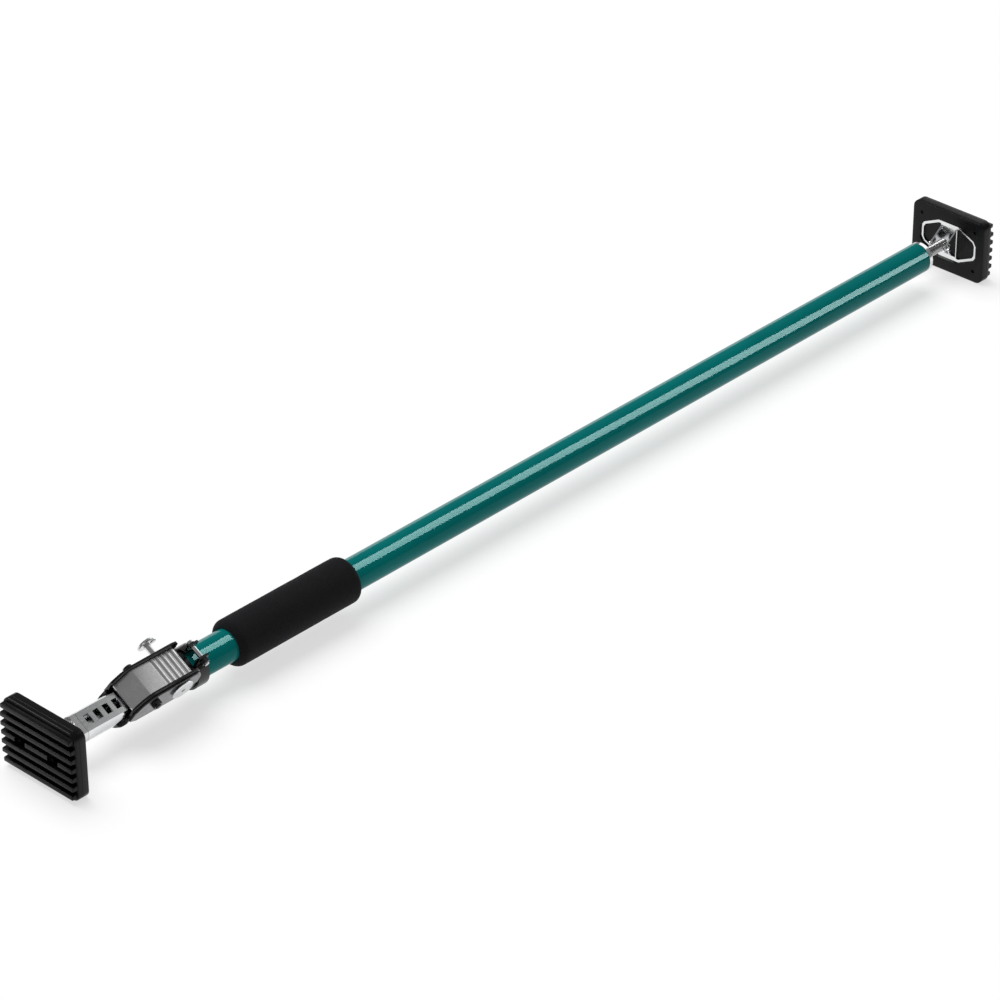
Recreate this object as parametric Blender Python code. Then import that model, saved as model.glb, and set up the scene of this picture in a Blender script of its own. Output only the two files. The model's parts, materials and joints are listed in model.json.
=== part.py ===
"""Telescopic cargo bar: an enamelled tube with a sliding rack bar, a thumb lever whose pawl drops
into the rack's windows, a screw foot at the other end, and two rubber feet on hinged brackets.

Frame: +X runs along the bar from the rack foot to the screw foot, +Y across it, +Z up. The origin
is below the bar's middle, level with the lower edges of the feet. Lengths are in millimetres
here, and the model is in metres.
"""

import math

import bmesh
import bpy
from mathutils import Matrix, Vector

MM = 0.001
GAP = 0.3  # between pieces that touch
HOLE_GAP = 0.4  # round a pin, bolt or thread in its hole
ROUND = 40  # sides of a large turned piece
SMALL_ROUND = 20  # sides of a pin, bolt or hole

# Feet
PAD_WIDTH = 101.6
PAD_HEIGHT = 76.2
PAD_THICK = 13.6
PAD_CORNER = 9.0
PAD_EDGE = 1.0
RIB_COUNT = 7
RIB_PITCH = 10.2
RIB_HEIGHT = 6.0
RIB_FOOT = 5.8
RIB_CREST = 4.6
RIB_END = 0.6  # how far a rib's end slopes in
OUTER_RIB_INSET = 1.4  # of the two outermost ribs, at the foot's rounded corners
RECESS_SPACING = 46.0
RECESS_RADIUS = 7.5
RECESS_DEPTH = 7.0
DIMPLE_RADIUS = 2.2
DIMPLE_DEPTH = 1.5
DIMPLE_AT = (38.0, 24.5)
POCKET = 4.0  # how deep the bracket's back lies in the rubber
BACK_TO_BACK = 1357.5  # between the backs of the two feet
AXIS_HEIGHT = PAD_HEIGHT / 2

# Foot brackets
BRACKET_THICK = 2.0
BRACKET_OUTLINE = ((14, 23), (36, 12.5), (39.5, 7), (39.5, -7), (36, -12.5), (14, -23))
EAR_SPREAD = 10.0  # to the middle of each ear
HINGE_BACK = 14.5  # from the foot's back to the hinge pin
HINGE_PIN_RADIUS = 2.2
SWIVEL_RADIUS = 5.0
EYE_RADIUS = 6.0
EYE_HALF_WIDTH = 6.5

# Tube and what it carries
TUBE_RADIUS = 17.5
TUBE_BORE = 16.0
TUBE_X = (-515.0, 625.0)
GRIP_X = (-452.5, -288.0)
GRIP_RADIUS = 25.2
GRIP_ROUNDING = 7.0
BUSH_X = (603.0, 633.0)
BUSH_BORE = 6.7
ROD_RADIUS = 6.35  # half-inch thread
ROD_NOSE = 3.0
ROD_X = (543.0, 674.5)
ROD_NUT_FLATS = 19.0
ROD_GUIDE_LENGTH = 12.0

# Rack bar
RACK_RADIUS = 15.0
RACK_FLAT = 10.0  # height of its flat top above the axis
RACK_WALL = 2.0
RACK_X = (-645.0, -130.0)
WINDOW_COUNT = 34
WINDOW_PITCH = 11.8
WINDOW_FIRST_X = -636.0
WINDOW_SIZE = (6.6, 11.0)

# Mechanism, in its own frame: x along the bar, y away from the near side, z up from the axis
ROLL = math.radians(30)
FRAME_X = (-597.0, -515.3)
WALL = (16.2, 18.2)
FRAME_TOP = 33.5
HORN_RADIUS = 8.0  # of the hollow front edges beside the rack bar
CHEEK = (18.5, 20.5)
LEVER_HALF_WIDTH = 15.8
LEVER_THICK = 1.8
LEVER_RIBS = 5
LEVER_RIB_PITCH = 6.4
PIVOT = (-571.0, 17.5)
PIVOT_RADIUS = 3.0
RELEASE = (-537.0, 17.0)
RELEASE_RADIUS = 3.5
RELEASE_PROUD = 13.0  # from the far cheek to the pin's head
RELEASE_HEAD_RADIUS = 9.5
RELEASE_HEAD_THICK = 3.0
RELEASE_STOP_RADIUS = 5.0
DISC_RADIUS = 12.4
DISC_STEM_RADIUS = 2.0
COLLAR_X = (-510.0, -495.5)
COLLAR_RADIUS = 22.0
SLEEVE_RADIUS = 19.6
CLAMP_HEIGHT = 26.0
TOOTH_X = WINDOW_FIRST_X + 4 * WINDOW_PITCH

COLOURS = {
    "teal_enamel": ((0.0, 0.16, 0.15), 0.25, 0.0),
    "black_foam": ((0.03, 0.03, 0.032), 0.9, 0.0),
    "black_rubber": ((0.025, 0.025, 0.027), 0.7, 0.0),
    "black_enamel": ((0.012, 0.012, 0.013), 0.3, 0.0),
    "black_plastic": ((0.02, 0.02, 0.02), 0.45, 0.0),
    "bright_zinc": ((0.72, 0.73, 0.74), 0.22, 1.0),
    "satin_steel": ((0.5, 0.51, 0.52), 0.35, 1.0),
    "spring_steel": ((0.4, 0.4, 0.42), 0.3, 1.0),
    "grey_nylon": ((0.5, 0.5, 0.48), 0.5, 0.0),
}


# ---------------------------------------------------------------- helpers


def clear_scene():
    for obj in list(bpy.data.objects):
        bpy.data.objects.remove(obj)


def material(name):
    if name in bpy.data.materials:
        return bpy.data.materials[name]
    made = bpy.data.materials.new(name)
    made.use_nodes = True
    colour, roughness, metallic = COLOURS[name]
    shader = made.node_tree.nodes["Principled BSDF"]
    shader.inputs["Base Color"].default_value = (*colour, 1)
    shader.inputs["Roughness"].default_value = roughness
    shader.inputs["Metallic"].default_value = metallic
    return made


def solid(name, vertices, faces):
    """An object from points in millimetres, with its faces turned outwards."""
    mesh = bpy.data.meshes.new(name)
    shape = bmesh.new()
    points = [shape.verts.new(Vector(v) * MM) for v in vertices]
    for face in faces:
        shape.faces.new([points[i] for i in face])
    bmesh.ops.recalc_face_normals(shape, faces=shape.faces)
    shape.to_mesh(mesh)
    shape.free()
    obj = bpy.data.objects.new(name, mesh)
    bpy.context.scene.collection.objects.link(obj)
    return obj


def loft(name, sections):
    """A closed solid through equal rings of points, capped at both ends."""
    count = len(sections[0])
    vertices = [p for ring in sections for p in ring]
    faces = [range(count), range(count * (len(sections) - 1), count * len(sections))]
    for row in range(len(sections) - 1):
        for i in range(count):
            a, b = row * count + i, row * count + (i + 1) % count
            faces.append((a, b, b + count, a + count))
    return solid(name, vertices, faces)


AXES = {"x": (0, 1, 2), "y": (1, 0, 2), "z": (2, 0, 1)}


def prism(name, outline, low, high, along="y"):
    """An outline in the plane across one axis, extruded from low to high along it."""
    order = AXES[along]

    def place(u, v, w):
        point = [0.0, 0.0, 0.0]
        point[order[0]], point[order[1]], point[order[2]] = w, u, v
        return point

    return loft(name, [[place(u, v, w) for u, v in outline] for w in (low, high)])


def box(name, low, high):
    return prism(
        name,
        [(low[1], low[2]), (high[1], low[2]), (high[1], high[2]), (low[1], high[2])],
        low[0],
        high[0],
        "x",
    )


def circle(radius, sides, centre=(0, 0), start=0.0, sweep=2 * math.pi):
    whole = abs(sweep) >= 2 * math.pi - 1e-6
    steps = sides if whole else sides - 1
    return [
        (
            centre[0] + radius * math.cos(start + sweep * i / steps),
            centre[1] + radius * math.sin(start + sweep * i / steps),
        )
        for i in range(sides)
    ]


def rod(name, radius, low, high, along="x", centre=(0, 0), sides=SMALL_ROUND, chamfer=0.0):
    """A round bar along an axis, with chamfered ends if asked."""
    stations = [(low, radius - chamfer), (low + chamfer, radius)]
    stations += [(high - chamfer, radius), (high, radius - chamfer)]
    if not chamfer:
        stations = [(low, radius), (high, radius)]
    order = AXES[along]
    rings = []
    for w, r in stations:
        ring = []
        for u, v in circle(r, sides, centre):
            point = [0.0, 0.0, 0.0]
            point[order[0]], point[order[1]], point[order[2]] = w, u, v
            ring.append(point)
        rings.append(ring)
    return loft(name, rings)


def turned(name, profile, sides=ROUND):
    """A closed profile of (x, radius) turned about the X axis into a ring."""
    count = len(profile)
    vertices = []
    for i in range(sides):
        angle = 2 * math.pi * i / sides
        vertices += [(x, r * math.cos(angle), r * math.sin(angle)) for x, r in profile]
    faces = []
    for i in range(sides):
        j = (i + 1) % sides
        for k in range(count):
            m = (k + 1) % count
            faces.append((i * count + k, i * count + m, j * count + m, j * count + k))
    return solid(name, vertices, faces)


def hexagon(across_flats, centre=(0, 0)):
    return circle(across_flats / math.sqrt(3), 6, centre)


def combine(obj, other, operation):
    """Adds, cuts or intersects obj with another object, which is used up."""
    modifier = obj.modifiers.new(operation, "BOOLEAN")
    modifier.operation = operation
    modifier.solver = "EXACT"
    modifier.object = other
    graph = bpy.context.evaluated_depsgraph_get()
    mesh = bpy.data.meshes.new_from_object(obj.evaluated_get(graph))
    obj.modifiers.clear()
    obj.data = mesh
    bpy.data.objects.remove(other)
    return obj


def cut(obj, *others):
    for other in others:
        combine(obj, other, "DIFFERENCE")
    return obj


def add(obj, *others):
    for other in others:
        combine(obj, other, "UNION")
    return obj


def finish(obj, colour, parent=None, origin=(0, 0, 0)):
    """Gives a piece its material, its shading and an origin on its joint's axis."""
    point = Vector(origin) * MM
    obj.data.transform(Matrix.Translation(-point))
    obj.location = point
    obj.parent = parent
    obj.data.materials.clear()
    obj.data.materials.append(material(colour))
    obj.data.shade_smooth()
    obj.data.set_sharp_from_angle(angle=math.radians(32))
    return obj


def empty(name, location, roll=0.0):
    obj = bpy.data.objects.new(name, None)
    obj.location = Vector(location) * MM
    obj.rotation_euler = (roll, 0, 0)
    bpy.context.scene.collection.objects.link(obj)
    return obj


def tube_along(name, points, radius, sides=8):
    """A wire of round section through a list of points."""
    points = [Vector(p) for p in points]
    rings = []
    side = None
    for i, point in enumerate(points):
        ahead = points[min(i + 1, len(points) - 1)] - points[max(i - 1, 0)]
        ahead.normalize()
        if side is None:
            side = ahead.orthogonal().normalized()
        side = (side - ahead * side.dot(ahead)).normalized()
        other = ahead.cross(side)
        rings.append([tuple(point + side * u + other * v) for u, v in circle(radius, sides)])
    return loft(name, rings)


# ---------------------------------------------------------------- tube


def make_tube(axis):
    low, high = TUBE_X
    tube = turned(
        "outer_tube",
        [(low, TUBE_BORE), (high, TUBE_BORE), (high, TUBE_RADIUS), (low, TUBE_RADIUS)],
    )
    finish(tube, "teal_enamel", axis)

    low, high = GRIP_X
    quarter = [i * math.pi / 10 for i in range(6)]
    profile = [(high, TUBE_RADIUS + GAP), (low, TUBE_RADIUS + GAP)]
    corner = GRIP_ROUNDING
    reach = GRIP_RADIUS - corner
    profile += [
        (low + corner * (1 - math.sin(a)), reach + corner * math.cos(a)) for a in reversed(quarter)
    ]
    profile += [(high - corner * (1 - math.sin(a)), reach + corner * math.cos(a)) for a in quarter]
    finish(turned("foam_grip", profile), "black_foam", axis)

    low, high = BUSH_X
    face = TUBE_X[1] + GAP
    bush = turned(
        "tube_end_bush",
        [
            (low, BUSH_BORE),
            (high, BUSH_BORE),
            (high, TUBE_RADIUS - 2.5),
            (high - 2.5, TUBE_RADIUS),
            (face, TUBE_RADIUS),
            (face, TUBE_BORE - GAP),
            (low, TUBE_BORE - GAP),
        ],
    )
    finish(bush, "bright_zinc", axis)


# ---------------------------------------------------------------- rack bar


def rack_section(radius, flat, sides=ROUND):
    """A circle with a flat top, as (y, z) points."""
    half = math.acos(flat / radius)
    return circle(radius, sides, start=math.pi / 2 + half, sweep=2 * math.pi - 2 * half)


def make_rack(mechanism):
    low, high = RACK_X
    rack = prism("rack_bar", rack_section(RACK_RADIUS, RACK_FLAT), low, high, "x")
    bore = rack_section(RACK_RADIUS - RACK_WALL, RACK_FLAT - RACK_WALL)
    cut(rack, prism("bore", bore, low - 1, high + 1, "x"))
    windows = None
    length, width = WINDOW_SIZE
    for i in range(WINDOW_COUNT):
        x = WINDOW_FIRST_X + i * WINDOW_PITCH
        low_corner = (x - length / 2, -width / 2, RACK_FLAT - RACK_WALL - 1)
        window = box("window", low_corner, (x + length / 2, width / 2, RACK_FLAT + 1))
        windows = add(windows, window) if windows else window
    finish(cut(rack, windows), "bright_zinc", mechanism)

    stud_bore = 5.5
    flange = prism("rack_end_plug", rack_section(RACK_RADIUS, RACK_FLAT), low - 7, low - GAP, "x")
    inner = rack_section(RACK_RADIUS - RACK_WALL - GAP, RACK_FLAT - RACK_WALL - GAP)
    add(flange, prism("spigot", inner, low - 3, low + 12, "x"))
    cut(flange, rod("stud_bore", stud_bore, low - 9, low + 14))
    cut(flange, rod("nut_space", 8.3, low + 2, low + 14, sides=28))
    finish(flange, "satin_steel", mechanism)

    guide = rod("rack_tail_guide", TUBE_BORE - GAP, high + GAP, high + 12, sides=ROUND, chamfer=1)
    add(guide, prism("spigot", inner, high - 14, high + 4, "x"))
    cut(guide, rod("bore", 8, high - 16, high + 14))
    finish(guide, "black_plastic", mechanism)


# ---------------------------------------------------------------- mechanism frame


def make_frame(mechanism):
    low, high = FRAME_X
    inner, outer = WALL
    side = [
        (low, -outer - 1),
        (low, 17.5),
        (low + 3, 22.5),
        (low + 9, 28.5),
        (low + 16, 32.2),
        (low + 22, FRAME_TOP),
        (high - 7, FRAME_TOP),
        (high - 3, FRAME_TOP - 1.2),
        (high, FRAME_TOP - 5),
        (high, FRAME_TOP - 12),
        (high - 4, FRAME_TOP - 15),
        (high, FRAME_TOP - 19),
        (high, -outer - 1),
    ]
    top = FRAME_TOP + 1
    channel = circle(outer, 25, start=math.pi, sweep=math.pi) + [(outer, top), (-outer, top)]
    space = circle(inner, 25, start=math.pi, sweep=math.pi) + [(inner, top + 1), (-inner, top + 1)]
    frame = prism("ratchet_frame", channel, low - 1, high + 1, "x")
    cut(frame, prism("space", space, low - 3, high + 3, "x"))
    combine(frame, prism("side", side, -outer - 2, outer + 2), "INTERSECT")
    sleeve_low, sleeve_high = high - 1.4, COLLAR_X[1] - 1
    sleeve = [
        (sleeve_low, inner + 0.4),
        (high, inner + 0.4),
        (high, TUBE_RADIUS + GAP),
        (sleeve_high, TUBE_RADIUS + GAP),
        (sleeve_high, SLEEVE_RADIUS),
        (sleeve_low, SLEEVE_RADIUS),
    ]
    sleeve = turned("sleeve", sleeve)
    slot_low = COLLAR_X[0] - 1.5
    cut(sleeve, box("slot", (slot_low, -7.5, 5), (sleeve_high + 2, 7.5, 30)))
    add(frame, sleeve)
    cut(
        frame,
        rod("pivot_hole", PIVOT_RADIUS + HOLE_GAP, -30, 30, "y", PIVOT),
        rod("release_hole", RELEASE_RADIUS + HOLE_GAP, -30, 30, "y", RELEASE),
    )
    finish(frame, "black_enamel", mechanism)

    guide = [
        (low - GAP - 9, RACK_RADIUS + 0.4),
        (low - GAP, RACK_RADIUS + 0.4),
        (low - GAP, outer + 1),
        (low - GAP - 5, outer + 1),
        (low - GAP - 9, outer - 0.6),
    ]
    guide = turned("front_guide", guide)
    mouth = [(-15.5, 3.5), (15.5, 3.5), (22, 9), (22, 30), (-22, 30), (-22, 9)]
    cut(guide, prism("mouth", mouth, low - 20, low + 5, "x"))
    cut(guide, rod("crescent", HORN_RADIUS, -30, 30, "y", (low - GAP - 9.5, HORN_RADIUS - 5), 32))
    tabs = box("tab", (low - 5, -inner + GAP, -3), (low + 8, -RACK_RADIUS - 0.35, 3))
    other = box("tab", (low - 5, RACK_RADIUS + 0.35, -3), (low + 8, inner - GAP, 3))
    add(guide, tabs, other)
    finish(guide, "black_plastic", mechanism)


def make_cheeks(mechanism):
    outline = [
        (-597, 1.5),
        (-593, 13),
        (-585, 22),
        (-574, 27),
        (-520, 27.5),
        (-515, 26),
        (-512.5, 20),
        (-512.5, 9),
        (-517.2, 7.6),
        (-518.5, -1),
        (-522, -3.2),
        (-588, -3.2),
    ]
    for name, low, high in (("near_cheek", -CHEEK[1], -CHEEK[0]), ("far_cheek", *CHEEK)):
        cheek = prism(name, outline, low, high)
        cut(
            cheek,
            rod("pivot_hole", PIVOT_RADIUS + HOLE_GAP, -30, 30, "y", PIVOT),
            rod("release_hole", RELEASE_RADIUS + HOLE_GAP, -30, 30, "y", RELEASE),
        )
        finish(cheek, "satin_steel", mechanism)


def make_collar(mechanism):
    low, high = COLLAR_X
    inner = SLEEVE_RADIUS + GAP
    ring = turned(
        "clamp_collar",
        [(low, inner), (high, inner), (high, COLLAR_RADIUS), (low, COLLAR_RADIUS)],
    )
    gap = 7.0
    ear = 2.6
    for side in (-1, 1):
        near, far = sorted((side * gap, side * (gap + ear)))
        block = box("ear", (low + 1, near, 17.6), (high - 1, far, CLAMP_HEIGHT + 4.5))
        cut(block, rod("inside", inner, low - 1, high + 1, sides=ROUND))
        add(ring, block)
    cut(ring, box("gap", (low - 2, -gap, 5), (high + 2, gap, 40)))
    middle = (low + high) / 2
    at = (middle, CLAMP_HEIGHT)
    cut(ring, rod("bolt_hole", 2.9, -20, 20, "y", at))
    finish(ring, "black_enamel", mechanism)

    reach = gap + ear + GAP
    bolt = rod("clamp_bolt", 2.5, -reach - 6, reach + 0.5, "y", at)
    add(bolt, rod("head", 4.3, reach, reach + 3.2, "y", at, chamfer=0.6))
    finish(bolt, "bright_zinc", mechanism)
    nut = prism("clamp_nut", hexagon(8.5, at), -reach - 4.4, -reach)
    cut(nut, rod("thread", 2.8, -reach - 6, -reach + 2, "y", at))
    finish(nut, "black_enamel", mechanism)


# ---------------------------------------------------------------- lever


def lever_outline():
    """The lever's side view, as (x, z): a lip, a ramp, a flat and a ribbed thumb rest."""
    top = [(-594.0, 14.4), (-590.2, 15.4), (-579.0, 27.6), (-575.6, 28.4)]
    start = -553.5
    top += [(start - 2, 28.0)]
    for i in range(LEVER_RIBS):
        for step, lift in ((0.12, 0.0), (0.26, 0.9), (0.5, 1.25), (0.74, 0.9), (0.88, 0.0)):
            x = start + (i + step) * LEVER_RIB_PITCH
            top.append((x, 27.4 - 0.05 * (x - start) + lift))
    end = start + LEVER_RIBS * LEVER_RIB_PITCH
    base = 27.4 - 0.05 * (end - start)
    top += [(end, base)]
    below = [
        (end, base - LEVER_THICK),
        (-576.2, 28.4 - LEVER_THICK),
        (-580.0, 27.0 - LEVER_THICK),
        (-589.4, 14.6 - LEVER_THICK + 0.4),
        (-594.0, 14.4 - LEVER_THICK),
    ]
    return top + below


def make_lever(mechanism):
    at = (PIVOT[0], 0, PIVOT[1])
    lever = prism("lever", lever_outline(), -LEVER_HALF_WIDTH, LEVER_HALF_WIDTH)
    flange = [(-586, 13), (-584, 11.6), (-560, 11.6), (-553, 20), (-546, 26), (-576, 27)]
    flange += [(-582, 22.5)]
    for side in (-1, 1):
        ends = sorted((side * LEVER_HALF_WIDTH, side * (LEVER_HALF_WIDTH - LEVER_THICK)))
        add(lever, prism("flange", flange, *ends))
    cut(lever, rod("pivot_hole", PIVOT_RADIUS + HOLE_GAP, -30, 30, "y", PIVOT))
    finish(lever, "satin_steel", mechanism, at)

    tip = RACK_FLAT + 0.4
    tooth = [
        (TOOTH_X - 2.4, tip + 0.3),
        (TOOTH_X - 2.0, tip),
        (TOOTH_X + 2.0, tip),
        (TOOTH_X + 2.4, tip + 0.3),
        (TOOTH_X + 6.4, 17.2),
        (TOOTH_X + 6.4, 20.0),
        (TOOTH_X + 5.0, 20.0),
        (TOOTH_X - 0.9, 12.8),
        (TOOTH_X - 2.4, 12.3),
    ]
    finish(prism("pawl", tooth, -4.8, 4.8), "spring_steel", mechanism, at)

    bolt = rod("pivot_bolt", PIVOT_RADIUS, -CHEEK[1] - 6.4, CHEEK[1] + 1, "y", PIVOT, chamfer=0.4)
    head = rod("head", 5.2, CHEEK[1] + GAP, CHEEK[1] + 3.8, "y", PIVOT, chamfer=0.8)
    finish(add(bolt, head), "black_enamel", mechanism)
    nut = prism("pivot_nut", hexagon(10, PIVOT), -CHEEK[1] - 5.3, -CHEEK[1] - GAP)
    cut(nut, rod("thread", PIVOT_RADIUS + HOLE_GAP, -CHEEK[1] - 7, -CHEEK[1] + 2, "y", PIVOT))
    finish(nut, "black_enamel", mechanism)

    # torsion spring round the bolt, one leg under the lever's plate and one over the rack
    turns, wire, coil = 5, 0.55, 4.6
    steps = 14
    half = turns * (2 * wire + 0.3) / 2
    points = [(PIVOT[0] + 15, -half, PIVOT[1] - coil + 0.4)]
    for i in range(turns * steps + steps // 2 + 1):
        angle = -math.pi / 2 - 2 * math.pi * i / steps
        y = -half + (2 * wire + 0.3) * i / steps
        points.append(
            (PIVOT[0] + coil * math.cos(angle), y, PIVOT[1] + coil * math.sin(angle))
        )
    points.append((PIVOT[0] + 13, points[-1][1] + 0.4, PIVOT[1] + coil + 1.5))
    finish(tube_along("lever_spring", points, wire, 6), "spring_steel", mechanism, at)


def make_release_pin(mechanism):
    x, z = RELEASE
    reach = CHEEK[1] + GAP
    head_low, head_high = reach + RELEASE_PROUD, reach + RELEASE_PROUD + RELEASE_HEAD_THICK
    pin = rod("release_pin", RELEASE_RADIUS, -reach - 0.5, head_low + 0.5, "y", RELEASE)
    head = rod("head", RELEASE_HEAD_RADIUS, head_low, head_high, "y", RELEASE, 28, chamfer=0.9)
    tab = rod("tab", 3.4, head_low - 0.6, head_low + 0.6, "y", (x + 8, z + 1.5), chamfer=0.3)
    stop = rod("stop", RELEASE_STOP_RADIUS, -2, 0, "y", RELEASE)
    stem = rod("stem", DISC_STEM_RADIUS, -reach - 2.2, -reach + 0.5, "y", RELEASE)
    finish(add(pin, head, tab, stop, stem), "satin_steel", mechanism)

    disc = rod("pin_disc", DISC_RADIUS, -reach - 3.2, -reach - 0.8, "y", RELEASE, 32, chamfer=0.8)
    cut(disc, rod("bore", DISC_STEM_RADIUS + GAP, -reach - 5, -reach + 1, "y", RELEASE))
    finish(disc, "bright_zinc", mechanism)

    turns, wire, coil, steps = 5, 0.5, 4.6, 12
    low, high = -WALL[0] + GAP + wire, -2 - GAP - wire
    points = [
        (
            x + coil * math.cos(2 * math.pi * i / steps),
            low + (high - low) * i / (turns * steps),
            z + coil * math.sin(2 * math.pi * i / steps),
        )
        for i in range(turns * steps + 1)
    ]
    finish(tube_along("pin_spring", points, wire, 6), "spring_steel", mechanism)


# ---------------------------------------------------------------- feet


def pad_outline(inset=0.0):
    """The foot's rounded rectangle, as (y, z)."""
    corner = PAD_CORNER - inset
    half_y = PAD_WIDTH / 2 - PAD_CORNER
    half_z = PAD_HEIGHT / 2 - PAD_CORNER
    points = []
    for i, (sy, sz) in enumerate(((1, 1), (-1, 1), (-1, -1), (1, -1))):
        centre = (sy * half_y, sz * half_z)
        points += circle(corner, 7, centre, i * math.pi / 2, math.pi / 2)
    return points


def make_pad(name, side, axis, origin):
    """side is -1 for the rack foot and 1 for the screw foot: the way its ribs face."""
    back = BACK_TO_BACK / 2
    levels = ((back, PAD_EDGE), (back + PAD_EDGE, 0))
    levels += ((back + PAD_THICK - PAD_EDGE, 0), (back + PAD_THICK, PAD_EDGE))
    sections = [[(side * x, y, z) for y, z in pad_outline(inset)] for x, inset in levels]
    pad = loft(name, sections)
    half = PAD_WIDTH / 2 - PAD_EDGE
    face = back + PAD_THICK
    for i in range(RIB_COUNT):
        z = (i - (RIB_COUNT - 1) / 2) * RIB_PITCH
        outermost = i in (0, RIB_COUNT - 1)
        narrow = half - (OUTER_RIB_INSET if outermost else 0)
        sections = []
        rows = ((face - 1, narrow, RIB_FOOT), (face, narrow, RIB_FOOT))
        rows += ((face + RIB_HEIGHT, narrow - RIB_END, RIB_CREST),)
        for x, reach, thick in rows:
            corners = ((reach, thick), (-reach, thick), (-reach, -thick), (reach, -thick))
            sections.append([(side * x, y, z + t / 2) for y, t in corners])
        add(pad, loft("rib", sections))
    for y in (-RECESS_SPACING / 2, RECESS_SPACING / 2):
        low, high = sorted((side * (face - RECESS_DEPTH), side * (face + RIB_HEIGHT + 1)))
        cut(pad, rod("recess", RECESS_RADIUS, low, high, "x", (y, 0), 24))
    for y in (-DIMPLE_AT[0], DIMPLE_AT[0]):
        for z in (-DIMPLE_AT[1], DIMPLE_AT[1]):
            low, high = sorted((side * (back - 1), side * (back + DIMPLE_DEPTH)))
            cut(pad, rod("dimple", DIMPLE_RADIUS, low, high, "x", (y, z), 10))
    outline = [(y * 1.012, z * 1.02) for y, z in bracket_outline()]
    low, high = sorted((side * (back - 1), side * (back + POCKET + GAP)))
    pocket = prism("pocket", outline, low, high, "x")
    cut(pad, pocket)
    finish(pad, "black_rubber", axis, origin)


def bracket_outline():
    """The plate's outline as (y, z): one half as listed, and its mirror image."""
    return list(BRACKET_OUTLINE) + [(-y, z) for y, z in reversed(BRACKET_OUTLINE)]


def make_bracket(name, side, axis, origin):
    back = BACK_TO_BACK / 2
    low, high = sorted((side * (back - BRACKET_THICK + POCKET), side * (back + POCKET)))
    bracket = prism(name, bracket_outline(), low, high, "x")
    window = [(EAR_SPREAD + 1.6, 18.6), (14.5, 19.2), (33.8, 10.2), (36.3, 6), (36.3, -6)]
    window += [(33.8, -10.2), (14.5, -19.2), (EAR_SPREAD + 1.6, -18.6)]
    for mirror in (-1, 1):
        outline = [(mirror * y, z) for y, z in window]
        cut(bracket, prism("window", outline, low - 2, high + 2, "x"))
    hinge = back - HINGE_BACK
    tip = hinge - 5.2
    ear = [(back + POCKET - 0.5, -18.5), (tip + 3, -4.2), (tip + 0.8, -2.6), (tip, 0)]
    ear += [(tip + 0.8, 2.6), (tip + 3, 4.2), (back + POCKET - 0.5, 18.5)]
    for mirror in (-1, 1):
        near, far = sorted((mirror * (EAR_SPREAD - 1), mirror * (EAR_SPREAD + 1)))
        plate = prism("ear", [(side * x, z) for x, z in ear], near, far)
        add(bracket, plate)
    hole = rod("pin_hole", HINGE_PIN_RADIUS + HOLE_GAP, -30, 30, "y", (side * hinge, 0))
    cut(bracket, hole)
    finish(bracket, "bright_zinc", axis, origin)


def make_hinge_pin(name, cotter_name, side, axis, origin):
    x = side * (BACK_TO_BACK / 2 - HINGE_BACK)
    reach = EAR_SPREAD + 1 + GAP
    pin = rod(name, HINGE_PIN_RADIUS, -reach - 3.6, reach + 0.5, "y", (x, 0), 16)
    add(pin, rod("head", 3.8, reach, reach + 1.8, "y", (x, 0), 20, chamfer=0.5))
    hole_y = -reach - 1.8
    cut(pin, rod("cotter_hole", 0.95, -6, 6, "z", (x, hole_y), 12))
    finish(pin, "bright_zinc", axis, origin)
    wire, loop = 0.6, 1.9
    points = []
    for i in range(12):
        angle = -math.pi * 0.35 - 2 * math.pi * 0.85 * i / 11
        across = loop * math.cos(angle) - loop * math.cos(math.pi * 0.35)
        points.append((x + across, hole_y - 0.05 * i, 6.2 + loop * math.sin(angle)))
    points.reverse()
    points += [(x, hole_y, 3.4), (x, hole_y, -3.4), (x + side * 0.8, hole_y - 0.3, -5.2)]
    points += [(x + side * 2.4, hole_y - 1.0, -6.4)]
    finish(tube_along(cotter_name, points, wire, 6), "bright_zinc", axis, origin)


def make_left_yoke(axis):
    """A swivel stud in the rack's end plug, with an eye for the hinge pin."""
    low = RACK_X[0]
    hinge = -(BACK_TO_BACK / 2 - HINGE_BACK)
    yoke = rod("left_yoke", SWIVEL_RADIUS, low - 12, low + 9.5, chamfer=0.5)
    add(yoke, rod("shoulder", 8.0, low - 10.2, low - 7 - GAP, sides=24, chamfer=0.5))
    wide = EYE_HALF_WIDTH
    eye = rod("eye", EYE_RADIUS, -wide, wide, "y", (hinge, 0), 24)
    add(eye, box("neck", (hinge, -wide, -SWIVEL_RADIUS), (low - 9, wide, SWIVEL_RADIUS)))
    add(yoke, eye)
    cut(yoke, rod("pin_hole", HINGE_PIN_RADIUS + HOLE_GAP, -30, 30, "y", (hinge, 0)))
    finish(yoke, "bright_zinc", axis, (hinge, 0, 0))
    nut = prism("swivel_nut", hexagon(13), low + 2 + GAP, low + 7.5, "x")
    cut(nut, rod("thread", SWIVEL_RADIUS + HOLE_GAP, low, low + 10))
    finish(nut, "bright_zinc", axis, (hinge, 0, 0))


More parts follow.
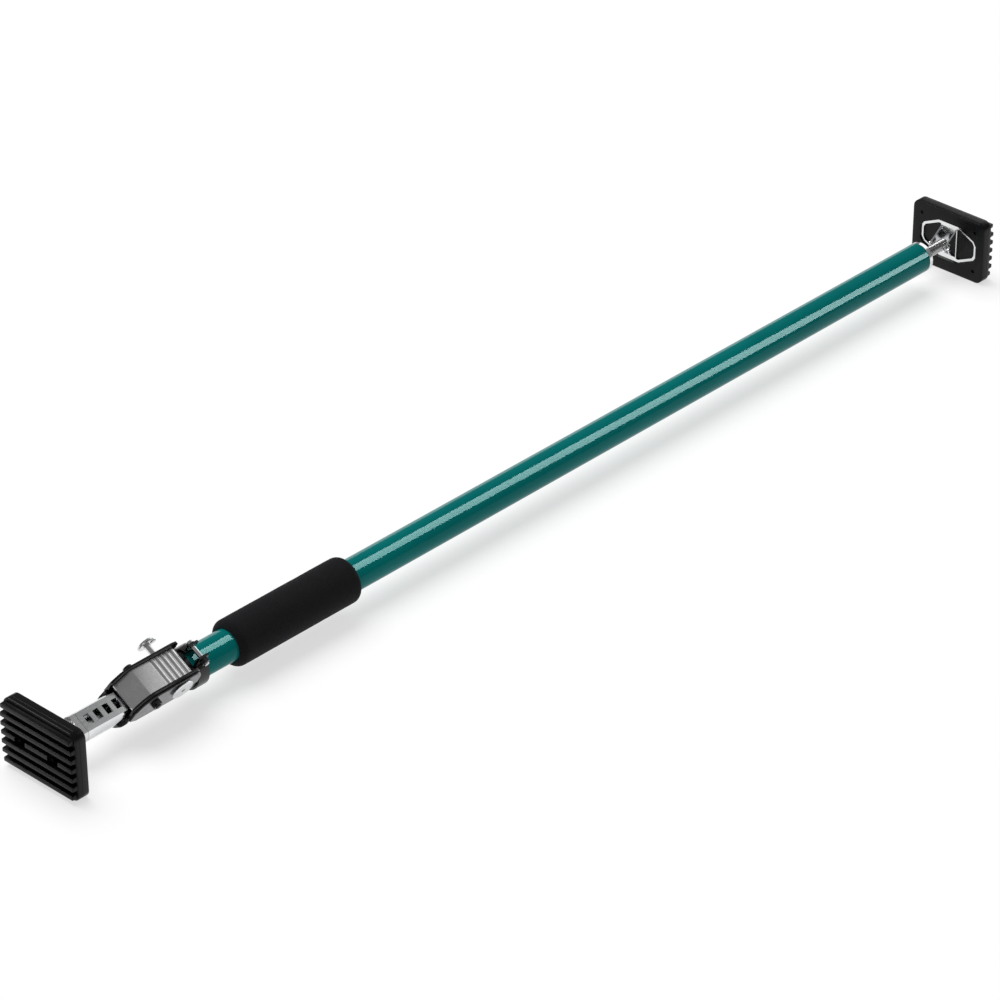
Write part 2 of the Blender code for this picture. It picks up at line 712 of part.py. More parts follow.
def make_screw(axis):
    low, high = ROD_X
    hinge = BACK_TO_BACK / 2 - HINGE_BACK
    screw = rod("threaded_rod", ROD_RADIUS, low, high, sides=24, chamfer=ROD_NOSE)
    cut(screw, rod("pin_hole", HINGE_PIN_RADIUS + HOLE_GAP, -30, 30, "y", (hinge, 0)))
    finish(screw, "bright_zinc", axis, (hinge, 0, 0))
    nut_low, nut_high = low + 2, low + 10
    guide_high = nut_high + ROD_GUIDE_LENGTH
    bore, rim = BUSH_BORE + 0.1, TUBE_BORE - GAP
    guide = turned(
        "rod_guide",
        [(nut_high, bore), (guide_high, bore), (guide_high, rim), (nut_high, rim)],
    )
    finish(guide, "grey_nylon", axis)
    nut = prism("rod_stop_nut", hexagon(ROD_NUT_FLATS), nut_low, nut_high - GAP, "x")
    cut(nut, rod("thread", ROD_RADIUS + HOLE_GAP, low, nut_high + 2, sides=24))
    finish(nut, "bright_zinc", axis, (hinge, 0, 0))


def main():
    clear_scene()
    axis = empty("bar_axis", (0, 0, AXIS_HEIGHT))
    mechanism = empty("mechanism_axis", (0, 0, AXIS_HEIGHT), ROLL)
    make_tube(axis)
    make_rack(mechanism)
    make_frame(mechanism)
    make_cheeks(mechanism)
    make_collar(mechanism)
    make_lever(mechanism)
    make_release_pin(mechanism)
    hinge = BACK_TO_BACK / 2 - HINGE_BACK
    for word, side in (("left", -1), ("right", 1)):
        origin = (side * hinge, 0, 0)
        make_bracket(f"{word}_bracket", side, axis, origin)
        make_pad(f"{word}_pad", side, axis, origin)
        make_hinge_pin(f"{word}_hinge_pin", f"{word}_cotter", side, axis, origin)
    make_left_yoke(axis)
    make_screw(axis)


main()
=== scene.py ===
"""Looks of the telescopic cargo bar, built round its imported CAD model.

Lengths are in metres in the CAD's own frame: +X along the bar from the rack foot to the screw
foot, +Y across it, +Z up. MM turns the millimetres that the pieces are drawn in into metres.
"""
import json
import math

import bmesh
import bpy
from mathutils import Matrix, Vector, noise


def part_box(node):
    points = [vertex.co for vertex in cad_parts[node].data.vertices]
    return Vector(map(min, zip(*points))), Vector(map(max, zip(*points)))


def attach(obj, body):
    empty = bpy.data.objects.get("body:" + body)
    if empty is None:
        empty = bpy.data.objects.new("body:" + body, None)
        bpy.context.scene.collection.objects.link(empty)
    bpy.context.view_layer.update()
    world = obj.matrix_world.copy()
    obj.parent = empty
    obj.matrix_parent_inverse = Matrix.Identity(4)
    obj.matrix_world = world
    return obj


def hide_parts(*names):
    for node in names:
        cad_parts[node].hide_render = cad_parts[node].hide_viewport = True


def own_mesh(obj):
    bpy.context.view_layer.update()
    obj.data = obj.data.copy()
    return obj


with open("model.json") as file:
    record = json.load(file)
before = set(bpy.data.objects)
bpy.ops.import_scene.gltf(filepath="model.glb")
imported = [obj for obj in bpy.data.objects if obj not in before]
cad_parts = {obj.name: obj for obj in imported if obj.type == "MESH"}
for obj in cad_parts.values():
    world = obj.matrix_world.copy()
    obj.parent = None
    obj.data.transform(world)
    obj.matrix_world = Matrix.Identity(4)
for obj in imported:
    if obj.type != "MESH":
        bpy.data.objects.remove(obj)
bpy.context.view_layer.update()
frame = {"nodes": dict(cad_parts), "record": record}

MM = 0.001
AXIS_HEIGHT = (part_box("outer_tube")[0].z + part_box("outer_tube")[1].z) / 2

# Camera, placed about the middle of the bar's axis
CAMERA_AZIMUTH = math.radians(-47.19)
CAMERA_ELEVATION = math.radians(31.25)
CAMERA_DISTANCE = 4.379
CAMERA_LENS = 151.64
CAMERA_SHIFT = (-0.043, -0.0319)

# Rubber feet, in millimetres: depths are measured from the foot's back
PAD_THICK = 13.6
PAD_CORNER = 9.0
PAD_ROUNDING = 1.2
PARTING_LINE = 8.2
PARTING_DEPTH = 0.25
RIB_COUNT = 7
RIB_PITCH = 10.2
RIB_FOOT = 5.8
RIB_CREST = 4.6
RIB_ROUNDING = 0.7
RIB_END_GAP = 0.9
OUTER_RIB_INSET = 1.4
RECESS_SPACING = 46.0
RECESS_RADIUS = 7.5
RECESS_DEPTH = 7.0
DIMPLE_AT = (38.0, 24.5)
DIMPLE_RADIUS = 2.2
DIMPLE_DEPTH = 1.5
POCKET_DEPTH = 4.3
POCKET_OUTLINE = ((14, 23.4), (36.4, 12.8), (40, 7.2), (40, -7.2), (36.4, -12.8), (14, -23.4))

# Foam grip and threaded rod, in millimetres
GRIP_ROUNDING = 7.0
GRIP_WAVE = 0.12
GRIP_WAVE_LENGTH = 14
GRIP_MOUTH = 1.5  # from the sleeve's end to where its rounded end meets the tube
GRIP_ROWS = 70
GRIP_SIDES = 96
THREAD_PITCH = 25.4 / 13
THREAD_DEPTH = 1.15
THREAD_ROWS = 8  # rings of points in one turn
THREAD_SIDES = 32
ROD_NOSE = 3.0

# The width of the rounded edges of the CAD pieces, in millimetres
EDGE_WIDTHS = {
    "ratchet_frame": 0.35,
    "front_guide": 0.4,
    "near_cheek": 0.3,
    "far_cheek": 0.3,
    "clamp_collar": 0.4,
    "clamp_nut": 0.3,
    "pivot_nut": 0.4,
    "rack_bar": 0.35,
    "rack_end_plug": 0.5,
    "lever": 0.25,
    "left_bracket": 0.35,
    "right_bracket": 0.35,
    "left_yoke": 0.4,
    "swivel_nut": 0.4,
    "rod_stop_nut": 0.4,
    "tube_end_bush": 0.4,
    "outer_tube": 0.3,
}
SMOOTH_BELOW = math.radians(32)
SPLIT_ABOVE = math.radians(38)
WELD_DISTANCE = 0.00001

# Studio: a faint white world, a soft sun from above and behind, and softboxes that show only as
# reflections. A softbox's row: first end, second end, width, what it faces, radiance.
WORLD_STRENGTH = 0.22
SUN_STRENGTH = 2.6
SUN_SPREAD = math.radians(50)
SUN_TURN = (math.radians(-21), math.radians(4), 0)
FLOOR_HALF = 9
FLOOR_DROP = 0.0002
TUBE_SOFTBOXES = {
    "strip": ((0.5, -0.09, 2.2), (4.03, -3.28, 0.68), 1.58, (0.92, -2.93, 0.62), 28),
    "backdrop": ((0, 3, 0.6), (5, 3, 0.6), 1.2, (0, 0, 0.05), 1.5),
}
OTHER_SOFTBOXES = {
    "panel": ((0.45, -0.2, 1.5), (1.35, -0.9, 1.2), 0.8, (-0.43, 0, 0.05), 0.45),
    "rim": ((-1.5, 0.75, 1.45), (-0.6, 1.75, 1.45), 0.7, (-0.3, 0, 0.05), 9),
    "sweep": ((2.6, -0.5, 1.1), (2.6, 1.6, 1.1), 2.2, (-0.4, 0, 0.05), 1.15),
}


# ---------------------------------------------------------------- materials


def new_look(name, colour, roughness, metallic=0.0, **sockets):
    made = bpy.data.materials.new(name)
    made.use_nodes = True
    shader = made.node_tree.nodes["Principled BSDF"]
    shader.inputs["Base Color"].default_value = (*colour, 1)
    shader.inputs["Roughness"].default_value = roughness
    shader.inputs["Metallic"].default_value = metallic
    for socket, value in sockets.items():
        shader.inputs[socket.replace("_", " ")].default_value = value
    return made, made.node_tree, shader


def grain(tree, size, stretch=(1, 1, 1), detail=3.0):
    """A noise whose features are about size metres, pulled out along an axis by stretch."""
    coordinates = tree.nodes.new("ShaderNodeTexCoord")
    mapping = tree.nodes.new("ShaderNodeMapping")
    mapping.inputs["Scale"].default_value = [1 / s for s in stretch]
    pattern = tree.nodes.new("ShaderNodeTexNoise")
    pattern.inputs["Scale"].default_value = 1 / size
    pattern.inputs["Detail"].default_value = detail
    tree.links.new(coordinates.outputs["Object"], mapping.inputs["Vector"])
    tree.links.new(mapping.outputs["Vector"], pattern.inputs["Vector"])
    return pattern


def ramp(tree, pattern, stops):
    """Colours along a noise's value: stops are (place, colour)."""
    colours = tree.nodes.new("ShaderNodeValToRGB")
    elements = colours.color_ramp.elements
    elements[0].position, elements[0].color = stops[0][0], (*stops[0][1], 1)
    elements[1].position, elements[1].color = stops[-1][0], (*stops[-1][1], 1)
    for place, colour in stops[1:-1]:
        elements.new(place).color = (*colour, 1)
    tree.links.new(pattern.outputs["Fac"], colours.inputs["Fac"])
    return colours


def colour_by(tree, shader, pattern, stops):
    tree.links.new(ramp(tree, pattern, stops).outputs["Color"], shader.inputs["Base Color"])


def roughness_by(tree, shader, pattern, low, high):
    spread = tree.nodes.new("ShaderNodeMapRange")
    spread.inputs["From Min"].default_value = 0.3
    spread.inputs["From Max"].default_value = 0.7
    spread.inputs["To Min"].default_value = low
    spread.inputs["To Max"].default_value = high
    tree.links.new(pattern.outputs["Fac"], spread.inputs["Value"])
    tree.links.new(spread.outputs["Result"], shader.inputs["Roughness"])


def bump_by(tree, shader, patterns):
    """Relief from one or more (noise, height in metres, strength)."""
    last = None
    for pattern, height, strength in patterns:
        relief = tree.nodes.new("ShaderNodeBump")
        relief.inputs["Distance"].default_value = height
        relief.inputs["Strength"].default_value = strength
        tree.links.new(pattern.outputs["Fac"], relief.inputs["Height"])
        if last:
            tree.links.new(last.outputs["Normal"], relief.inputs["Normal"])
        last = relief
    tree.links.new(last.outputs["Normal"], shader.inputs["Normal"])


def teal_enamel():
    made, tree, shader = new_look(
        "teal_enamel_look", (0.0, 0.148, 0.142), 0.07, Specular_IOR_Level=0.1,
        Specular_Tint=(0.5, 1.0, 0.98, 1),
    )
    stops = [(0.35, (0.0, 0.14, 0.135)), (0.65, (0.0, 0.155, 0.149))]
    colour_by(tree, shader, grain(tree, 0.09), stops)
    roughness_by(tree, shader, grain(tree, 0.012), 0.05, 0.085)
    bump_by(tree, shader, [(grain(tree, 0.0022, detail=1.0), 0.00002, 0.12)])
    return made


def black_foam():
    made, tree, shader = new_look(
        "black_foam_look", (0.01, 0.01, 0.011), 0.92, Specular_IOR_Level=0.12,
        Sheen_Weight=0.05, Sheen_Roughness=0.5, Sheen_Tint=(0.8, 0.82, 0.9, 1),
    )
    cells = grain(tree, 0.0007, detail=4.0)
    colour_by(tree, shader, cells, [(0.3, (0.004, 0.004, 0.0045)), (0.55, (0.009, 0.009, 0.01)),
                                    (0.8, (0.022, 0.022, 0.025))])
    bump_by(tree, shader, [(grain(tree, 0.004), 0.0002, 0.4), (cells, 0.0003, 0.8)])
    return made


def black_rubber():
    made, tree, shader = new_look(
        "black_rubber_look", (0.003, 0.003, 0.004), 0.3, Specular_IOR_Level=0.16,
    )
    clouds = grain(tree, 0.02)
    colour_by(tree, shader, clouds, [(0.3, (0.002, 0.002, 0.0026)), (0.7, (0.005, 0.005, 0.006))])
    roughness_by(tree, shader, grain(tree, 0.006), 0.24, 0.36)
    bump_by(tree, shader, [(grain(tree, 0.0006), 0.00008, 0.5), (clouds, 0.0004, 0.2)])
    return made


def black_enamel():
    made, tree, shader = new_look(
        "black_enamel_look", (0.004, 0.004, 0.005), 0.2, Specular_IOR_Level=0.3,
        Coat_Weight=0.25, Coat_Roughness=0.08,
    )
    stops = [(0.3, (0.003, 0.003, 0.0035)), (0.75, (0.007, 0.007, 0.008))]
    colour_by(tree, shader, grain(tree, 0.01), stops)
    roughness_by(tree, shader, grain(tree, 0.004), 0.16, 0.3)
    bump_by(tree, shader, [(grain(tree, 0.0018), 0.00006, 0.3)])
    return made


def black_plastic():
    made, tree, shader = new_look("black_plastic_look", (0.01, 0.01, 0.01), 0.4)
    stops = [(0.3, (0.008, 0.008, 0.009)), (0.7, (0.014, 0.014, 0.015))]
    colour_by(tree, shader, grain(tree, 0.008), stops)
    roughness_by(tree, shader, grain(tree, 0.002), 0.32, 0.48)
    bump_by(tree, shader, [(grain(tree, 0.0004), 0.00003, 0.4)])
    return made


def bright_zinc():
    made, tree, shader = new_look("bright_zinc_look", (0.78, 0.79, 0.8), 0.14, 1.0)
    colour_by(tree, shader, grain(tree, 0.012), [(0.25, (0.7, 0.71, 0.73)), (0.5, (0.78, 0.79, 0.8)),
                                                 (0.8, (0.83, 0.835, 0.84))])
    roughness_by(tree, shader, grain(tree, 0.003, (6, 1, 1)), 0.12, 0.2)
    bump_by(tree, shader, [(grain(tree, 0.0008, (12, 1, 1)), 0.00001, 0.15)])
    return made


def thread_with_painted_groove_shade(radius):
    """Bright crests on a screw, with painted shade darkening its grooves nearer its axis. radius is in
    metres.
    """
    made, tree, shader = new_look("oiled_thread_look", (0.6, 0.6, 0.61), 0.2, 1.0)
    coordinates = tree.nodes.new("ShaderNodeTexCoord")
    across = tree.nodes.new("ShaderNodeMapping")
    across.inputs["Location"].default_value = (0, 0, -AXIS_HEIGHT)
    across.inputs["Scale"].default_value = (0, 1, 1)
    from_axis = tree.nodes.new("ShaderNodeVectorMath")
    from_axis.operation = "LENGTH"
    depth = tree.nodes.new("ShaderNodeMapRange")
    depth.inputs["From Min"].default_value = radius - THREAD_DEPTH * MM
    depth.inputs["From Max"].default_value = radius
    colours = tree.nodes.new("ShaderNodeValToRGB")
    # painted shade: the colour falls to near black towards the groove roots and rises to bright metal
    # at the crests
    for element, place, level in zip(colours.color_ramp.elements, (0.45, 0.9), (0.012, 0.72)):
        element.position, element.color = place, (level, level, level, 1)
    tree.links.new(coordinates.outputs["Object"], across.inputs["Vector"])
    tree.links.new(across.outputs["Vector"], from_axis.inputs["Vector"])
    tree.links.new(from_axis.outputs["Value"], depth.inputs["Value"])
    tree.links.new(depth.outputs["Result"], colours.inputs["Fac"])
    tree.links.new(colours.outputs["Color"], shader.inputs["Base Color"])
    roughness_by(tree, shader, grain(tree, 0.002), 0.14, 0.3)
    return made


def satin_steel():
    made, tree, shader = new_look("satin_steel_look", (0.72, 0.72, 0.73), 0.24, 1.0)
    brushed = grain(tree, 0.0004, (30, 1, 1), 2.0)
    colour_by(tree, shader, brushed, [(0.25, (0.66, 0.66, 0.67)), (0.75, (0.77, 0.77, 0.78))])
    roughness_by(tree, shader, grain(tree, 0.004), 0.2, 0.29)
    bump_by(tree, shader, [(brushed, 0.000006, 0.25)])
    return made


def steel_darkened_as_shade():
    """The cheek plates' steel, painted darker than the satin steel as shade for the dark surroundings
    they reflect.
    """
    made, tree, shader = new_look("dull_steel_look", (0.27, 0.27, 0.28), 0.3, 1.0)
    colour_by(tree, shader, grain(tree, 0.005), [(0.3, (0.22, 0.22, 0.23)), (0.7, (0.31, 0.31, 0.32))])
    roughness_by(tree, shader, grain(tree, 0.003), 0.24, 0.36)
    bump_by(tree, shader, [(grain(tree, 0.0007), 0.00001, 0.3)])
    return made


def spring_steel():
    made, tree, shader = new_look("spring_steel_look", (0.4, 0.4, 0.42), 0.3, 1.0)
    colour_by(tree, shader, grain(tree, 0.004), [(0.3, (0.32, 0.32, 0.34)), (0.7, (0.46, 0.46, 0.48))])
    roughness_by(tree, shader, grain(tree, 0.002), 0.22, 0.38)
    bump_by(tree, shader, [(grain(tree, 0.0005), 0.00001, 0.3)])
    return made


def grey_nylon():
    made, tree, shader = new_look("grey_nylon_look", (0.5, 0.5, 0.48), 0.5)
    colour_by(tree, shader, grain(tree, 0.006), [(0.3, (0.45, 0.45, 0.43)), (0.7, (0.54, 0.54, 0.52))])
    roughness_by(tree, shader, grain(tree, 0.003), 0.42, 0.56)
    bump_by(tree, shader, [(grain(tree, 0.0005), 0.00003, 0.4)])
    return made


def floor_look():
    made, tree, shader = new_look(
        "floor_look", (0.38, 0.38, 0.38), 0.8, Specular_IOR_Level=0.1,
        Emission_Color=(1, 1, 1, 1), Emission_Strength=0.64,
    )
    colour_by(tree, shader, grain(tree, 0.6), [(0.3, (0.37, 0.37, 0.37)), (0.7, (0.39, 0.39, 0.39))])
    return made


LOOKS = {
    "teal_enamel": teal_enamel(),
    "black_foam": black_foam(),
    "black_rubber": black_rubber(),
    "black_enamel": black_enamel(),
    "black_plastic": black_plastic(),
    "bright_zinc": bright_zinc(),
    "satin_steel": satin_steel(),
    "spring_steel": spring_steel(),
    "grey_nylon": grey_nylon(),
}
# The cheeks take a darker copy of the satin steel: painted shade.
NODE_LOOKS = {"near_cheek": steel_darkened_as_shade()}
NODE_LOOKS["far_cheek"] = NODE_LOOKS["near_cheek"]


# ---------------------------------------------------------------- mesh helpers


def mesh_object(name, vertices, faces, unit=MM):
    mesh = bpy.data.meshes.new(name)
    shape = bmesh.new()
    points = [shape.verts.new(Vector(v) * unit) for v in vertices]
    for face in faces:
        shape.faces.new([points[i] for i in face])
    bmesh.ops.recalc_face_normals(shape, faces=shape.faces)
    shape.to_mesh(mesh)
    shape.free()
    obj = bpy.data.objects.new(name, mesh)
    bpy.context.scene.collection.objects.link(obj)
    return obj


def loft(name, rings):
    """A closed solid through equal rings of points, capped at both ends."""
    count = len(rings[0])
    vertices = [p for ring in rings for p in ring]
    faces = [range(count), range(count * (len(rings) - 1), count * len(rings))]
    for row in range(len(rings) - 1):
        for i in range(count):
            a, b = row * count + i, row * count + (i + 1) % count
            faces.append((a, b, b + count, a + count))
    return mesh_object(name, vertices, faces)


def arc(centre, radius, start, sweep, steps):
    """Points in a plane, from start through sweep in radians."""
    return [
        (centre[0] + radius * math.cos(start + sweep * i / steps),
         centre[1] + radius * math.sin(start + sweep * i / steps))
        for i in range(steps + 1)
    ]


def combine(obj, other, operation):
    """Joins another object to obj, or cuts obj with it. The other object is used up."""
    modifier = obj.modifiers.new(operation, "BOOLEAN")
    modifier.operation = operation
    modifier.solver = "EXACT"
    modifier.object = other
    mesh = bpy.data.meshes.new_from_object(obj.evaluated_get(bpy.context.evaluated_depsgraph_get()))
    obj.modifiers.clear()
    obj.data = mesh
    bpy.data.objects.remove(other)


def smooth(obj, angle=SMOOTH_BELOW):
    obj.data.shade_smooth()
    obj.data.set_sharp_from_angle(angle=angle)


def dress(obj, slot, body=None, stands_for=None):
    """Gives a new piece its finish and its place in the assembly."""
    obj.data.materials.clear()
    obj.data.materials.append(LOOKS[slot])
    if stands_for:
        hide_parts(stands_for)
    if body:
        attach(obj, body)


# ---------------------------------------------------------------- CAD pieces


def soften(obj, width):
    """Rounded edges and smooth round faces on a CAD piece, whose own mesh stays as it is."""
    weld = obj.modifiers.new("weld", "WELD")
    weld.merge_threshold = WELD_DISTANCE
    if width:
        bevel = obj.modifiers.new("rounded_edges", "BEVEL")
        bevel.width = width * MM
        bevel.segments = 2
        bevel.limit_method = "ANGLE"
        bevel.angle_limit = SMOOTH_BELOW
        bevel.use_clamp_overlap = True
        bevel.harden_normals = False
    obj.data.shade_smooth()
    split = obj.modifiers.new("sharp_edges", "EDGE_SPLIT")
    split.split_angle = SPLIT_ABOVE
    split.use_edge_sharp = False
    flat = obj.modifiers.new("flat_faces", "WEIGHTED_NORMAL")
    flat.keep_sharp = False


def dress_cad_nodes():
    for row in frame["record"]["subparts"]:
        obj = frame["nodes"][row["node"]]
        obj.data.materials.clear()
        obj.data.materials.append(NODE_LOOKS.get(row["node"], LOOKS[row["material_slot"]]))
        soften(obj, EDGE_WIDTHS.get(row["node"], 0))


# ---------------------------------------------------------------- rubber feet


def pad_ring(depth, inset, side, back, centre_z, half):
    """The foot's rounded outline at a depth from its back, drawn in by inset."""
    corner = PAD_CORNER - inset
    points = []
    for i, (sy, sz) in enumerate(((1, 1), (-1, 1), (-1, -1), (1, -1))):
        centre = (sy * (half[0] - PAD_CORNER), centre_z + sz * (half[1] - PAD_CORNER))
        points += arc(centre, corner, i * math.pi / 2, math.pi / 2, 12)
    return [(back + side * depth, y, z) for y, z in points]


def pad_block(name, side, back, centre_z, half):
    """The foot's body: rounded back and front edges, and a fine parting line round its side."""
    levels = [(0.0, 1.0), (0.12, 0.6), (0.4, 0.25), (1.0, 0.0)]
    levels += [(PARTING_LINE - 0.3, 0.0), (PARTING_LINE, PARTING_DEPTH), (PARTING_LINE + 0.3, 0.0)]
    front = arc((PAD_THICK - PAD_ROUNDING, PAD_ROUNDING), PAD_ROUNDING, -math.pi / 2, math.pi / 2, 4)
    levels += [(depth, inset) for depth, inset in front]
    return loft(name, [pad_ring(d, i, side, back, centre_z, half) for d, i in levels])


def rib_section(reach, inset):
    """Half width of a rib at its crest and foot, as (depth, z), with rounded crest edges."""
    crest, foot = RIB_CREST / 2 - inset, RIB_FOOT / 2 - inset
    top = reach - inset
    lower = arc((top - RIB_ROUNDING, -crest + RIB_ROUNDING), RIB_ROUNDING, -math.pi / 2, math.pi / 2, 4)
    upper = [(depth, -z) for depth, z in reversed(lower)]
    return [(PAD_THICK - 1, -foot)] + lower + upper + [(PAD_THICK - 1, foot)]


def pad_rib(z, reach, half_length, side, back):
    rings = []
    ends = arc((0, 0), RIB_ROUNDING, 0, math.pi / 2, 4)
    for way, stations in ((-1, ends), (1, reversed(ends))):
        for along, up in stations:
            y = way * (half_length - RIB_ROUNDING + along)
            section = rib_section(reach, RIB_ROUNDING - up)
            rings.append([(back + side * depth, y, z + dz) for depth, dz in section])
    return loft("rib", rings)


def rubber_foot(word, side):
    node = f"{word}_pad"
    low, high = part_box(node)
    back = (high.x if side < 0 else low.x) / MM
    reach = (high.x - low.x) / MM
    centre_z = (low.z + high.z) / 2 / MM
    half = ((high.y - low.y) / 2 / MM, (high.z - low.z) / 2 / MM)
    pad = pad_block(f"{word}_foot_rubber", side, back, centre_z, half)
    for i in range(RIB_COUNT):
        z = centre_z + (i - (RIB_COUNT - 1) / 2) * RIB_PITCH
        inset = RIB_END_GAP + (OUTER_RIB_INSET if i in (0, RIB_COUNT - 1) else 0)
        combine(pad, pad_rib(z, reach, half[0] - inset, side, back), "UNION")

    def hole(y, z, radius, start, end, sides):
        ring = arc((y, z), radius, 0, 2 * math.pi * (1 - 1 / sides), sides - 1)
        return loft("hole", [[(back + side * d, u, v) for u, v in ring] for d in (start, end)])

    for y in (-RECESS_SPACING / 2, RECESS_SPACING / 2):
        floor_at = PAD_THICK - RECESS_DEPTH
        combine(pad, hole(y, centre_z, RECESS_RADIUS, floor_at, reach + 1, 48), "DIFFERENCE")
    for y in (-DIMPLE_AT[0], DIMPLE_AT[0]):
        for z in (-DIMPLE_AT[1], DIMPLE_AT[1]):
            combine(pad, hole(y, centre_z + z, DIMPLE_RADIUS, -1, DIMPLE_DEPTH, 24), "DIFFERENCE")
    outline = list(POCKET_OUTLINE) + [(-y, z) for y, z in reversed(POCKET_OUTLINE)]
    rings = [[(back + side * d, y, centre_z + z) for y, z in outline] for d in (-1, POCKET_DEPTH)]
    combine(pad, loft("pocket", rings), "DIFFERENCE")
    smooth(pad)
    dress(pad, "black_rubber", f"{word}_foot", node)


# ---------------------------------------------------------------- foam grip


def foam_grip():
    """A soft sleeve with rounded ends and a slightly uneven surface."""
    low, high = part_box("foam_grip")
    start, end = low.x / MM, high.x / MM
    radius = (high.y - low.y) / 2 / MM - GRIP_WAVE
    bore = (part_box("outer_tube")[1].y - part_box("outer_tube")[0].y) / 2 / MM + 0.1
    inner = radius - GRIP_ROUNDING
    profile = [(start + GRIP_MOUTH, bore)]
    profile += arc((start + GRIP_ROUNDING, inner), GRIP_ROUNDING, math.pi, -math.pi / 2, 8)
    run = end - start - 2 * GRIP_ROUNDING
    profile += [(start + GRIP_ROUNDING + run * i / GRIP_ROWS, radius) for i in range(1, GRIP_ROWS)]
    profile += arc((end - GRIP_ROUNDING, inner), GRIP_ROUNDING, math.pi / 2, -math.pi / 2, 8)
    profile += [(end - GRIP_MOUTH, bore)]
    vertices = []
    for x, r in profile:
        for i in range(GRIP_SIDES):
            angle = 2 * math.pi * i / GRIP_SIDES
            y, z = math.cos(angle), math.sin(angle)
            place = Vector((x, y * r, z * r)) / GRIP_WAVE_LENGTH
            wave = noise.noise(place) * GRIP_WAVE if r > bore else 0
            vertices.append((x, y * (r + wave), AXIS_HEIGHT / MM + z * (r + wave)))
    faces = []
    for row in range(len(profile)):
        here, there = row * GRIP_SIDES, (row + 1) % len(profile) * GRIP_SIDES
        for i in range(GRIP_SIDES):
            j = (i + 1) % GRIP_SIDES
            faces.append((here + i, here + j, there + j, there + i))
    grip = mesh_object("grip_sleeve", vertices, faces)
    smooth(grip, math.radians(50))
    dress(grip, "black_foam", "tube", "foam_grip")


# ---------------------------------------------------------------- threaded rod


def threaded_rod():
    low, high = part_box("threaded_rod")
    start, end = low.x / MM, high.x / MM
    radius = (high.z - low.z) / 2 / MM
    rows = int((end - start) / THREAD_PITCH * THREAD_ROWS)
    rings = []
    for row in range(rows + 1):
        x = start + (end - start) * row / rows
        tip = min(x - start, end - x, ROD_NOSE) / ROD_NOSE
        limit = radius - ROD_NOSE * (1 - math.sqrt(1 - (1 - tip) ** 2))
        ring = []
        for i in range(THREAD_SIDES):
            phase = (x / THREAD_PITCH - i / THREAD_SIDES) % 1
            flank = min(1, max(0, abs(phase - 0.5) * 2.8 - 0.25))
            r = min(limit, radius - THREAD_DEPTH * flank)
            angle = 2 * math.pi * i / THREAD_SIDES
            ring.append((x, r * math.cos(angle), AXIS_HEIGHT / MM + r * math.sin(angle)))
        rings.append(ring)
    rod = loft("screw_thread", rings)
    smooth(rod, math.radians(60))
    dress(rod, "bright_zinc", "screw", "threaded_rod")
    # the thread's finish has painted shade in its grooves
    rod.data.materials[0] = thread_with_painted_groove_shade(radius * MM)


# ---------------------------------------------------------------- release pin's spring


def release_spring():
    """The spring in the frame: a smoothed copy of the CAD spring, fixed to the tube's body."""
    joints = frame["record"]["behaviour"]["joints"]
    slide = next(joint for joint in joints if joint["name"] == "release_pin_slide")
    way = Vector(slide["axis"]).normalized()
    graph = bpy.context.evaluated_depsgraph_get()
    mesh = bpy.data.meshes.new_from_object(frame["nodes"]["pin_spring"].evaluated_get(graph))
    spring = bpy.data.objects.new("release_spring", mesh)
    bpy.context.scene.collection.objects.link(spring)
    smooth(spring)
    dress(spring, "spring_steel", "tube", "pin_spring")
    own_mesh(spring)


# ---------------------------------------------------------------- stage


def aim(obj, target):
    obj.rotation_mode = "QUATERNION"
    obj.rotation_quaternion = (Vector(target) - obj.location).to_track_quat("-Z", "Y")


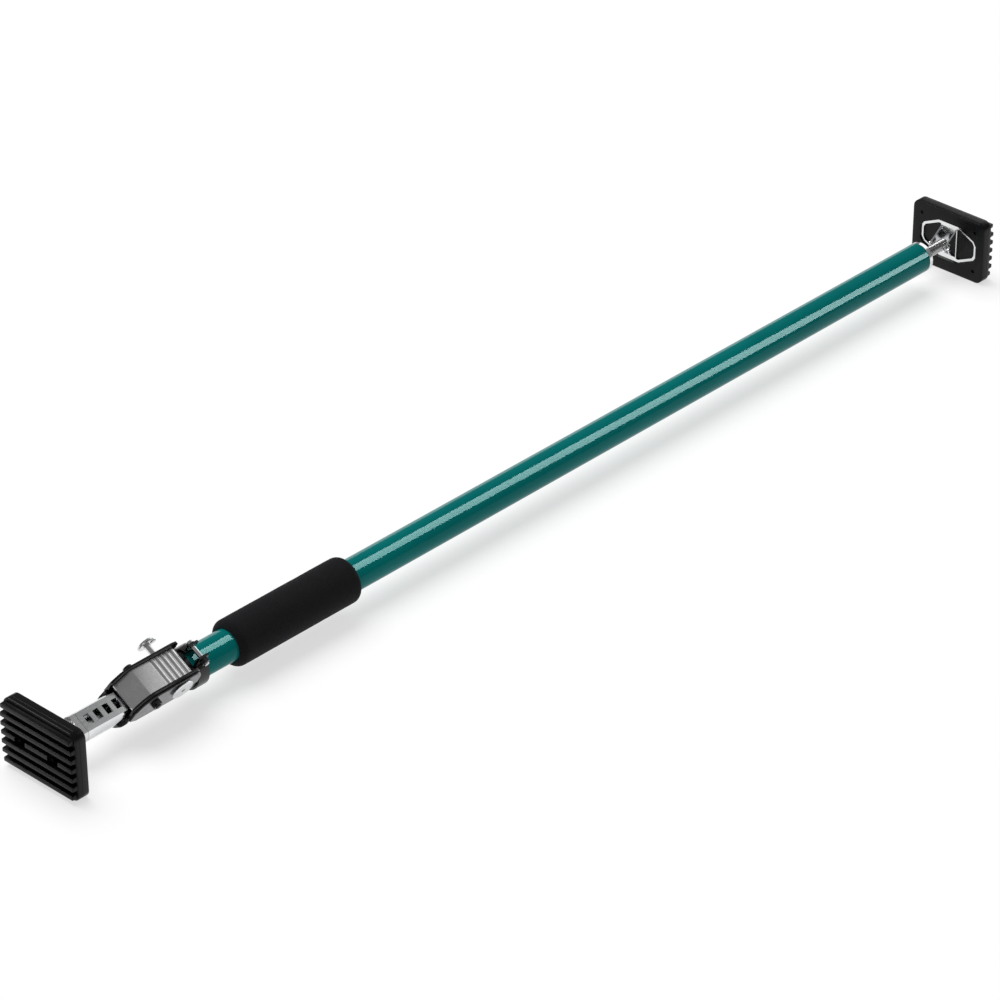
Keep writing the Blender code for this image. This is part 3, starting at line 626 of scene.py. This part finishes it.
def softbox(name, first, second, width, target, radiance, lit):
    """A rectangular light from first to second that shows only as a reflection on the lit objects."""
    first, second = Vector(first), Vector(second)
    light = bpy.data.lights.new(name, "AREA")
    light.shape = "RECTANGLE"
    along = second - first
    light.size, light.size_y = along.length, width
    light.energy = radiance * math.pi * along.length * width
    obj = bpy.data.objects.new(name, light)
    bpy.context.scene.collection.objects.link(obj)
    side = along.normalized()
    facing = (first + second) / 2 - Vector(target)
    facing = (facing - side * facing.dot(side)).normalized()
    obj.matrix_world = Matrix((side, facing.cross(side), facing)).transposed().to_4x4()
    obj.location = (first + second) / 2
    obj.visible_diffuse = False
    obj.visible_camera = False
    receivers = bpy.data.collections.new(name + "_receivers")
    for receiver in lit:
        receivers.objects.link(receiver)
    obj.light_linking.receiver_collection = receivers


def stage():
    corners = [(x * FLOOR_HALF, y * FLOOR_HALF, 0) for x, y in ((-1, -1), (1, -1), (1, 1), (-1, 1))]
    floor = mesh_object("floor", corners, [(0, 1, 2, 3)], 1)
    floor.location.z = -FLOOR_DROP
    floor.data.materials.append(floor_look())

    world = bpy.data.worlds.new("studio")
    world.use_nodes = True
    background = world.node_tree.nodes["Background"]
    background.inputs["Color"].default_value = (1, 1, 1, 1)
    background.inputs["Strength"].default_value = WORLD_STRENGTH
    bpy.context.scene.world = world

    sun = bpy.data.lights.new("overhead", "SUN")
    sun.energy = SUN_STRENGTH
    sun.angle = SUN_SPREAD
    sun_object = bpy.data.objects.new("overhead", sun)
    bpy.context.scene.collection.objects.link(sun_object)
    sun_object.rotation_euler = SUN_TURN
    sun_object.visible_glossy = False

    tube = frame["nodes"]["outer_tube"]
    others = [o for o in bpy.data.objects if o.type == "MESH" and o not in (tube, floor)]
    for boxes, lit in ((TUBE_SOFTBOXES, [tube]), (OTHER_SOFTBOXES, others)):
        for name, row in boxes.items():
            softbox(name, *row, lit)

    camera = bpy.data.cameras.new("camera")
    camera.lens = CAMERA_LENS
    camera.sensor_width = 36
    camera.shift_x, camera.shift_y = CAMERA_SHIFT
    camera.clip_end = 100
    eye = bpy.data.objects.new("camera", camera)
    bpy.context.scene.collection.objects.link(eye)
    level = math.cos(CAMERA_ELEVATION)
    away = Vector((
        math.sin(CAMERA_AZIMUTH) * level,
        -math.cos(CAMERA_AZIMUTH) * level,
        math.sin(CAMERA_ELEVATION),
    ))
    middle = Vector((0, 0, AXIS_HEIGHT))
    eye.location = middle + away * CAMERA_DISTANCE
    aim(eye, middle)
    bpy.context.scene.camera = eye
    bpy.context.scene.view_settings.view_transform = "Standard"


dress_cad_nodes()
rubber_foot("left", -1)
rubber_foot("right", 1)
foam_grip()
threaded_rod()
release_spring()
stage()
